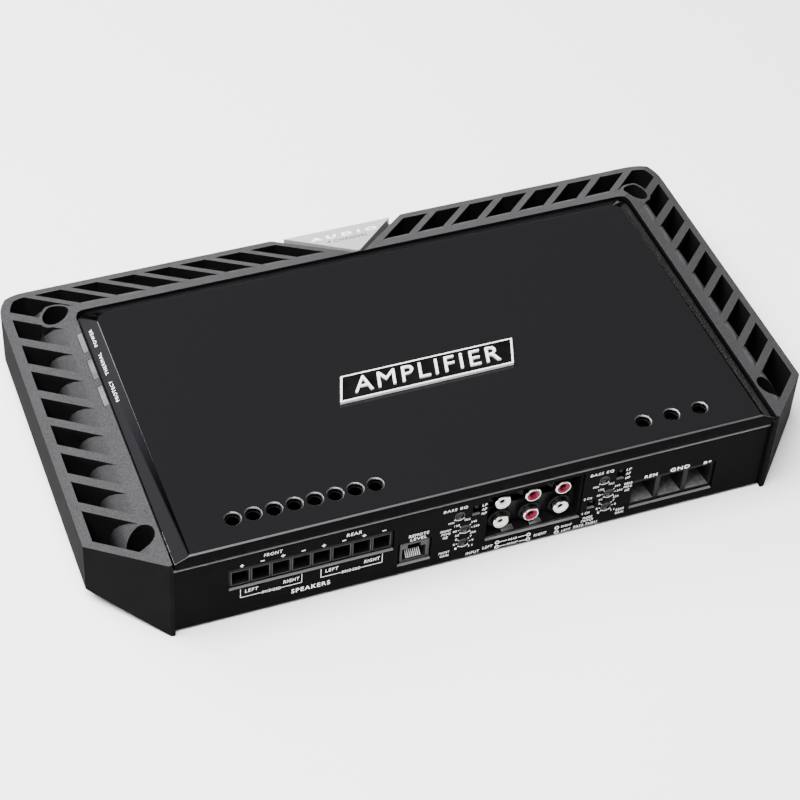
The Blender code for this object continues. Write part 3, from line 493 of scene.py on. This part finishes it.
def finish_mesh(name, bm, look):
    """Turns a mesh in millimetres into a piece that rides on root."""
    bmesh.ops.remove_doubles(bm, verts=bm.verts, dist=1e-5)
    bmesh.ops.recalc_face_normals(bm, faces=bm.faces)
    bmesh.ops.transform(bm, matrix=Matrix.Scale(MM, 4), verts=bm.verts)
    mesh = bpy.data.meshes.new(name)
    bm.to_mesh(mesh)
    bm.free()
    mesh.shade_smooth()
    mesh.set_sharp_from_angle(angle=SHARP_ANGLE)
    mesh.materials.append(LOOK[look])
    piece = bpy.data.objects.new(name, mesh)
    bpy.context.scene.collection.objects.link(piece)
    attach(piece, "root")
    return piece


def add_loft(bm, rings):
    """A solid through rings of as many points each, with both ends closed."""
    loops = [[bm.verts.new(point) for point in ring] for ring in rings]
    for lower, upper in zip(loops, loops[1:]):
        for k in range(len(lower)):
            nxt = (k + 1) % len(lower)
            bm.faces.new((lower[k], lower[nxt], upper[nxt], upper[k]))
    bm.faces.new(list(reversed(loops[0])))
    bm.faces.new(loops[-1])


def add_turned_y(bm, x, z, profile, steps):
    """A solid turned about an axis along Y. The profile of (radius, y) is a closed loop."""
    rings = []
    for radius, y in profile:
        turns = [2.0 * math.pi * k / steps for k in range(steps)]
        points = [(x + radius * math.cos(a), y, z + radius * math.sin(a)) for a in turns]
        rings.append([bm.verts.new(point) for point in points])
    for lower, upper in zip(rings, rings[1:] + rings[:1]):
        for k in range(steps):
            nxt = (k + 1) % steps
            bm.faces.new((lower[k], lower[nxt], upper[nxt], upper[k]))


def add_bar(bm, start, end, width, depth, normal):
    """A flat bar between two points, standing depth off its plane along the normal."""
    start, end, normal = Vector(start), Vector(end), Vector(normal).normalized()
    side = (end - start).normalized().cross(normal) * (width / 2.0)
    base = [start - side, end - side, end + side, start + side]
    add_loft(bm, [[tuple(p) for p in base], [tuple(p + normal * depth) for p in base]])


# ---------------------------------------------------------------- printed words and lines


def text_outline(words, weight, spacing):
    """The mesh of some words in Blender's own font, with its lowest left corner at the origin."""
    curve = bpy.data.curves.new("words", "FONT")
    curve.body = words
    curve.size = 1.0
    curve.offset = weight
    curve.extrude = 0.5
    curve.space_character = spacing
    curve.resolution_u = 3
    holder = bpy.data.objects.new("words", curve)
    bpy.context.scene.collection.objects.link(holder)
    bpy.context.view_layer.update()
    graph = bpy.context.evaluated_depsgraph_get()
    mesh = bpy.data.meshes.new_from_object(holder.evaluated_get(graph))
    bpy.data.objects.remove(holder, do_unlink=True)
    bpy.data.curves.remove(curve)
    return mesh


def add_words(bm, words, box, place, depth=PRINT_DEPTH, weight=0.0, slant=0.0, spacing=1.2):
    """Fits words to box = (u0, v0, u1, v1). place(u, v, lift) gives the point on the surface."""
    mesh = text_outline(words, weight, spacing)
    low = [min(v.co[k] for v in mesh.vertices) for k in range(2)]
    high = [max(v.co[k] for v in mesh.vertices) for k in range(2)]
    u0, v0, u1, v1 = box
    first = len(bm.verts)
    bm.from_mesh(mesh)
    bpy.data.meshes.remove(mesh)
    bm.verts.ensure_lookup_table()
    for vert in bm.verts[first:]:
        u = (vert.co.x - low[0]) / (high[0] - low[0])
        v = (vert.co.y - low[1]) / (high[1] - low[1])
        lift = (vert.co.z + 0.5) * depth
        height = v * (v1 - v0)
        vert.co = place(u0 + u * (u1 - u0) + slant * height, v0 + height, lift)


def on_panel(u, v, lift):
    return Vector((u, PANEL_Y - lift, v))


def add_label(bm, words, box, weight=0.0, slant=LABEL_SLANT):
    """Words printed on the front panel. The box is in its x and z."""
    add_words(bm, words, box, on_panel, weight=weight, slant=slant)


def centred(x, z, width, height):
    return x - width / 2.0, z - height / 2.0, x + width / 2.0, z + height / 2.0


def add_line(bm, points, width=0.26):
    """Printed bars along a row of points (x, z)."""
    for (x0, z0), (x1, z1) in zip(points, points[1:]):
        ends = (x0, PANEL_Y, z0), (x1, PANEL_Y, z1)
        add_bar(bm, *ends, width, PRINT_DEPTH, (0.0, -1.0, 0.0))


def add_arc(bm, centre, radius, start, end, width):
    """A printed arc, from one angle to another in degrees, counted from +X towards +Z."""
    inner, outer = [], []
    for k in range(ARC_STEPS + 1):
        angle = math.radians(start + (end - start) * k / ARC_STEPS)
        cosine, sine = math.cos(angle), math.sin(angle)
        for ring, r in ((inner, radius - width / 2.0), (outer, radius + width / 2.0)):
            ring.append((centre[0] + r * cosine, centre[1] + r * sine))
    outline = inner + list(reversed(outer))
    add_loft(bm, [[(x, y, z) for x, z in outline] for y in (PANEL_Y, PANEL_Y - PRINT_DEPTH)])


def add_ring(bm, centre, radius, width):
    profile = [
        (radius - width / 2.0, PANEL_Y),
        (radius + width / 2.0, PANEL_Y),
        (radius + width / 2.0, PANEL_Y - PRINT_DEPTH),
        (radius - width / 2.0, PANEL_Y - PRINT_DEPTH),
    ]
    add_turned_y(bm, centre[0], centre[1], profile, RING_STEPS)


def speaker_legends():
    bm = bmesh.new()
    for k in range(SPEAKER_COUNT):
        x, z = SPEAKER_SIGN[0] + SPEAKER_PITCH * k, SPEAKER_SIGN[1]
        add_line(bm, [(x - SIGN_HALF, z), (x + SIGN_HALF, z)], SIGN_WIDTH)
        if k % 2 == 0:
            add_line(bm, [(x, z - SIGN_HALF), (x, z + SIGN_HALF)], SIGN_WIDTH)
    add_label(bm, "FRONT", (-110.3, 38.5, -101.3, 40.6))
    add_label(bm, "REAR", (-69.3, 38.1, -61.7, 40.2))
    for x0, x1 in ((-121.8, -91.3), (-81.6, -50.5)):
        gap0, gap1 = x0 + 10.2, x0 + 20.4
        add_line(bm, [(x0, 19.3), (x0, 13.4), (gap0, 13.4)])
        add_line(bm, [(gap1, 13.4), (x1, 13.4), (x1, 19.6)])
        add_label(bm, "BRIDGED", (gap0 + 0.4, 12.6, gap1 - 0.4, 14.3))
        add_label(bm, "LEFT", (x0 + 2.2, 16.2, x0 + 8.6, 18.4))
        add_label(bm, "RIGHT", (x1 - 9.2, 15.8, x1 - 1.4, 18.0))
    add_label(bm, "SPEAKERS", (-96.4, 7.0, -76.8, 9.9), 0.01, 0.0)
    finish_mesh("speaker_legends", bm, "ink")


def remote_legends():
    bm = bmesh.new()
    add_label(bm, "REMOTE", centred(-32.2, 26.9, 10.2, 1.9))
    add_label(bm, "LEVEL", centred(-32.2, 24.2, 8.4, 1.8))
    finish_mesh("remote_legends", bm, "ink")


def knob_scale(bm, centre, labels, radius=3.1):
    """An arc with ticks round a trimmer. labels are (words, angle in degrees)."""
    add_arc(bm, centre, radius, 215.0, 325.0, 0.2)
    for words, angle in labels:
        turn = math.radians(angle)
        cosine, sine = math.cos(turn), math.sin(turn)
        width = 0.95 * len(words)
        reach = radius + 1.3 + width / 2.0 * abs(cosine) + 0.5 * abs(sine)
        near, far, (x, z) = (
            (centre[0] + r * cosine, centre[1] + r * sine) for r in (radius, radius + 0.7, reach)
        )
        add_line(bm, [near, far], 0.28)
        add_label(bm, words, centred(x, z, width, 1.25), slant=0.0)


def control_legends(side):
    """The labels of one bank: its title, three scales, the switch's filters and the names."""
    centres = TRIMMER_CENTRES[side]
    switch_x = centres["frequency"][0] + 5.2
    bm = bmesh.new()
    title_x = -14.0 if side == "front" else 62.9
    add_label(bm, "BASS EQ", centred(title_x, 38.2, 12.4, 2.0))
    knob_scale(bm, centres["eq"], [("MIN", 222.0), ("MAX", 318.0)], 3.0)
    knob_scale(bm, centres["frequency"], zip(FREQUENCY_WORDS, SCALE_ANGLES))
    knob_scale(bm, centres["gain"], zip(GAIN_WORDS, SCALE_ANGLES))
    for words, z in (("LP", 36.6), ("AP", 33.6), ("HP", 30.6)):
        add_label(bm, words, centred(switch_x + 4.0, z, 2.4, 1.6))
    if side == "front":
        blocks = [
            ("FRONT", -18.2, 24.3, 5.4),
            ("FREQ", -18.0, 21.9, 4.6),
            ("HZ", -18.2, 19.5, 2.4),
            ("FRONT", -18.2, 8.6, 5.4),
            ("GAIN", -18.0, 6.2, 4.4),
        ]
    else:
        blocks = [
            ("REAR", 78.4, 26.2, 4.4),
            ("FREQ", 78.3, 23.8, 4.4),
            ("HZ", 78.2, 21.4, 2.4),
            ("REAR", 76.0, 8.2, 4.4),
            ("GAIN", 75.8, 5.8, 4.4),
        ]
    for words, x, z, width in blocks:
        add_label(bm, words, centred(x, z, width, 1.5))
    finish_mesh(side + "_control_legends", bm, "ink")


def input_legends():
    """The key to the phono sockets, and the names at the input mode switch."""
    bm = bmesh.new()
    add_label(bm, "INPUT", centred(-2.9, 3.5, 7.0, 1.9))
    add_label(bm, "LEFT", centred(5.0, 4.7, 5.2, 1.8))
    add_label(bm, "RIGHT", centred(33.1, 4.4, 6.6, 1.8))
    for z, words in ((6.2, "REAR"), (2.9, "FRONT")):
        width = 1.15 * len(words)
        add_label(bm, words, centred(18.4, z, width, 1.4))
        for hand, x in ((-1.0, 10.1), (1.0, 26.8)):
            add_ring(bm, (x, z), 0.95, 0.45)
            add_line(bm, [(x - hand * 1.3, z), (18.4 + hand * (width / 2.0 + 0.6), z)], 0.28)
    for z, words, width in ((5.9, "RIGHT", 5.6), (2.6, "LEFT", 4.6)):
        add_ring(bm, (42.1, z), 0.95, 0.45)
        add_label(bm, words, centred(47.2, z, width, 1.5))
    add_label(bm, "PASS-THRU", centred(57.6, 3.0, 12.6, 1.9))
    add_label(bm, "2 CH", centred(57.0, 21.9, 4.2, 1.5))
    add_label(bm, "4 CH", centred(56.8, 11.5, 4.2, 1.5))
    add_label(bm, "MODE", centred(58.4, 8.0, 5.0, 1.5))
    add_label(bm, "SWITCH", centred(58.3, 5.8, 6.4, 1.5))
    finish_mesh("input_legends", bm, "ink")


def power_legends():
    bm = bmesh.new()
    add_label(bm, "REM", (87.1, 26.6, 93.9, 28.6), 0.006)
    add_label(bm, "GND", (101.2, 26.6, 111.8, 29.1), 0.014, 0.0)
    add_label(bm, "B+", (119.6, 26.4, 123.8, 28.2), 0.006)
    finish_mesh("power_legends", bm, "ink")


def status_legends():
    """Words that name the status windows, on the cover's left bevel."""
    slope = math.atan2(BEVEL_RISE, BEVEL_RUN)

    def on_bevel(u, v, lift):
        base = Vector(BEVEL_FOOT)
        across = Vector((math.cos(slope), 0.0, math.sin(slope)))
        normal = Vector((-math.sin(slope), 0.0, math.cos(slope)))
        along = Vector((0.0, u, 0.0))
        return base + across * (STATUS_PRINT_START - v) + normal * lift + along

    bm = bmesh.new()
    for words, y0, y1 in (("POWER", 41.6, 54.0), ("THERMAL", 20.4, 36.2), ("PROTECT", 1.0, 15.4)):
        add_words(bm, words, (y0, 0.0, y1, 1.7), on_bevel, spacing=1.25)
    finish_mesh("status_legends", bm, "ink")


# ---------------------------------------------------------------- emblem and badge


def emblem():
    """A black inlay in the bright plaque, with raised plain letters."""
    bm = bmesh.new()
    low_y, high_y = EMBLEM_Y
    lean = EMBLEM_LEAN * (1.0 - 2.0 * EMBLEM_MARGIN / (high_y - low_y))
    half = EMBLEM_HALF - EMBLEM_MARGIN * 1.2
    corners = [
        (-half - lean, low_y + EMBLEM_MARGIN),
        (half - lean, low_y + EMBLEM_MARGIN),
        (half + lean, high_y - EMBLEM_MARGIN),
        (-half + lean, high_y - EMBLEM_MARGIN),
    ]
    levels = (EMBLEM_TOP - 0.3, EMBLEM_TOP + INLAY_LIFT)
    add_loft(bm, [[(x, y, z) for x, y in corners] for z in levels])
    finish_mesh("emblem_inlay", bm, "inlay")

    def on_plaque(u, v, lift):
        return Vector((u, v, EMBLEM_TOP + INLAY_LIFT + lift))

    bm = bmesh.new()
    box = (-40.0, -33.6, 37.6, -23.4)
    add_words(bm, "AMPLIFIER", box, on_plaque, LETTER_DEPTH, slant=0.25)
    finish_mesh("emblem_letters", bm, "satin")


def badge_print():
    """A dark line and a pale word on the badge, following the back flange's slope."""
    drop = math.atan2(BADGE_DROP, BADGE_RUN)

    def on_badge(u, v, lift):
        along = Vector((0.0, math.cos(drop), -math.sin(drop)))
        normal = Vector((0.0, math.sin(drop), math.cos(drop)))
        return Vector(BADGE_TOP) + Vector((u, 0.0, 0.0)) + along * v + normal * lift

    bm = bmesh.new()
    box = (-11.5, 18.4, 11.5, 21.9)
    add_words(bm, "4 CHANNEL", box, on_badge, BADGE_PRINT_DEPTH, 0.02, 0.2)
    finish_mesh("badge_print", bm, "dark_print")
    bm = bmesh.new()
    box = (-19.0, 24.6, 19.0, 29.4)
    add_words(bm, "AUDIO", box, on_badge, BADGE_PRINT_DEPTH, 0.05, 0.2, 1.7)
    finish_mesh("badge_word", bm, "ink")


# ---------------------------------------------------------------- sockets


def phono_insulators():
    """The coloured insert in each phono sleeve, and the ring contact in its hole."""
    places = [(x, z) for z in PHONO_ROWS for x in PHONO_COLUMNS]
    for k, ((x, z), color) in enumerate(zip(places, PHONO_COLORS)):
        front = PHONO_FRONT_Y + 0.15
        back = PHONO_FRONT_Y + 3.6
        bm = bmesh.new()
        profile = [
            (3.4, back),
            (3.4, front + 0.35),
            (3.15, front + 0.05),
            (2.7, front),
            (2.0, front + 0.55),
            (1.55, front + 1.1),
            (1.45, front + 1.4),
            (1.45, back),
        ]
        add_turned_y(bm, x, z, profile, PHONO_INSULATOR_STEPS)
        finish_mesh(f"phono_insulator_{k + 1}", bm, color)
        bm = bmesh.new()
        contact = [
            (1.4, back),
            (1.4, front + 1.5),
            (1.2, front + 1.2),
            (1.05, front + 1.5),
            (1.05, back),
        ]
        add_turned_y(bm, x, z, contact, PHONO_CONTACT_STEPS)
        finish_mesh(f"phono_contact_{k + 1}", bm, "screw")


def ground_tabs():
    """Two bent tabs under the lower row of phono sockets."""
    for k, x in enumerate((16.2, 31.2)):
        bm = bmesh.new()
        profile = [(-102.7, 10.4), (-100.1, 11.2), (-100.1, 11.6), (-102.9, 10.8)]
        add_loft(bm, [[(px, y, z) for y, z in profile] for px in (x - 3.2, x + 3.2)])
        piece = finish_mesh(f"phono_ground_tab_{k + 1}", bm, "tab")
        bevel = piece.modifiers.new("edges", "BEVEL")
        bevel.width = 0.12 * MM
        bevel.segments = BEVEL_SEGMENTS


def slot_highlight_rims():
    """A low raised frame round the mouth of each speaker slot, pale grey as a painted highlight
    along the slot edges.
    """
    bm = bmesh.new()
    front = NOSE_Y - 0.22
    sections = ((4.65, 4.75, NOSE_Y), (4.6, 4.7, front), (4.25, 4.35, front), (4.2, 4.3, NOSE_Y))
    for k in range(SPEAKER_COUNT):
        x, z = SPEAKER_SLOT[0] + SPEAKER_PITCH * k, SPEAKER_SLOT[1]
        rings = []
        for half_x, half_z, y in sections:
            corners = ((-half_x, -half_z), (half_x, -half_z), (half_x, half_z), (-half_x, half_z))
            rings.append([bm.verts.new((x + cx, y, z + cz)) for cx, cz in corners])
        for lower, upper in zip(rings, rings[1:] + rings[:1]):
            for j in range(4):
                nxt = (j + 1) % 4
                bm.faces.new((lower[j], lower[nxt], upper[nxt], upper[j]))
    finish_mesh("speaker_slot_highlight_rims", bm, "rim")


def remote_contacts():
    """Eight sprung wires, bent down into the socket."""
    bm = bmesh.new()
    for k in range(CONTACT_COUNT):
        x = CONTACT_MIDDLE_X + (k - (CONTACT_COUNT - 1) / 2.0) * CONTACT_PITCH
        points = [(-102.9, 9.0), (-102.7, 9.6), (-100.2, 12.0), (-99.9, 11.8), (-102.3, 9.0)]
        sides = (x - CONTACT_HALF, x + CONTACT_HALF)
        add_loft(bm, [[(px, y, z) for y, z in points] for px in sides])
    finish_mesh("remote_socket_contacts", bm, "satin")


def add_box(bm, x0, x1, y0, y1, z0, z1):
    corners = ((x0, z0), (x1, z0), (x1, z1), (x0, z1))
    add_loft(bm, [[(x, y, z) for x, z in corners] for y in (y0, y1)])


def remote_bezel():
    """The pale face of the remote socket, round its mouth and latch notch."""
    bm = bmesh.new()
    back, front = NOSE_Y, NOSE_Y - 0.15
    for x0, x1, z0, z1 in (
        (-40.6, -25.4, 6.9, 8.5),
        (-40.6, -39.5, 8.5, 20.2),
        (-27.3, -25.4, 8.5, 20.2),
        (-39.5, -36.8, 16.4, 20.2),
        (-30.0, -27.3, 16.4, 20.2),
        (-36.8, -30.0, 19.0, 20.2),
    ):
        add_box(bm, x0, x1, front, back, z0, z1)
    finish_mesh("remote_socket_bezel", bm, "rim")


def phono_tray_lip():
    """The raised lip along the bottom of the phono recess."""
    bm = bmesh.new()
    add_box(bm, 3.6, 53.4, NOSE_Y - 0.2, NOSE_Y + 0.2, 9.75, 10.15)
    finish_mesh("phono_tray_lip", bm, "tab")


def trimmer_highlight_rings():
    """A thin pale ring on the panel round each trimmer: a painted highlight on the rotor's edge.
    """
    bm = bmesh.new()
    for centres in TRIMMER_CENTRES.values():
        for centre in centres.values():
            add_ring(bm, centre, 2.45, 0.3)
    finish_mesh("trimmer_highlight_rings", bm, "rim")


# ---------------------------------------------------------------- stage, in metres

FLOOR_REACH = 6.0
FLOOR_STEPS = 12
FLOOR_GAP = 0.0002
WORLD_STRENGTH = 0.19


def add_area(name, location, target, size, power):
    light = bpy.data.lights.new(name, "AREA")
    light.shape = "RECTANGLE"
    light.size, light.size_y = size
    light.energy = power
    lamp = bpy.data.objects.new(name, light)
    lamp.location = location
    direction = Vector(target) - Vector(location)
    lamp.rotation_euler = direction.to_track_quat("-Z", "Y").to_euler()
    bpy.context.scene.collection.objects.link(lamp)


def build_floor():
    bm = bmesh.new()
    places = [FLOOR_REACH * (2.0 * k / FLOOR_STEPS - 1.0) for k in range(FLOOR_STEPS + 1)]
    grid = [[bm.verts.new((x, y, 0.0)) for y in places] for x in places]
    for near, far in zip(grid, grid[1:]):
        for j in range(FLOOR_STEPS):
            bm.faces.new((near[j], far[j], far[j + 1], near[j + 1]))
    mesh = bpy.data.meshes.new("floor")
    bm.to_mesh(mesh)
    bm.free()
    mesh.materials.append(LOOK["floor"])
    floor = bpy.data.objects.new("floor", mesh)
    floor.location.z = -FLOOR_GAP
    bpy.context.scene.collection.objects.link(floor)


def build_lights():
    world = bpy.data.worlds.new("studio")
    world.use_nodes = True
    background = world.node_tree.nodes["Background"]
    background.inputs["Color"].default_value = (1.0, 1.0, 1.0, 1.0)
    background.inputs["Strength"].default_value = WORLD_STRENGTH
    bpy.context.scene.world = world
    add_area("overhead", (-0.5, -0.2, 1.7), (0.0, 0.0, 0.0), (1.4, 1.2), 150.0)
    add_area("back_left_softbox", (-0.95, 1.15, 1.25), (-0.1, 0.0, 0.03), (1.0, 0.8), 45.0)
    add_area("front_fill", (-0.4, -1.5, 0.75), (0.0, -0.1, 0.03), (1.2, 0.6), 4.0)


def build_camera():
    """The camera that was fitted to the part's outline."""
    camera = bpy.data.cameras.new("camera")
    camera.lens = 100.92
    camera.sensor_width = 36.0
    camera.shift_x = 0.05
    camera.shift_y = -0.075
    camera.clip_start = 0.05
    eye = bpy.data.objects.new("camera", camera)
    eye.location = (-0.3283, -0.7570, 0.8339)
    eye.rotation_euler = Euler([math.radians(a) for a in (46.389, -2.060, -19.842)], "XYZ")
    bpy.context.scene.collection.objects.link(eye)
    bpy.context.scene.camera = eye


dress_nodes()
speaker_legends()
remote_legends()
control_legends("front")
control_legends("rear")
input_legends()
power_legends()
status_legends()
emblem()
badge_print()
phono_insulators()
ground_tabs()
slot_highlight_rims()
remote_contacts()
remote_bezel()
phono_tray_lip()
trimmer_highlight_rings()
build_floor()
build_lights()
build_camera()
bpy.context.view_layer.update()
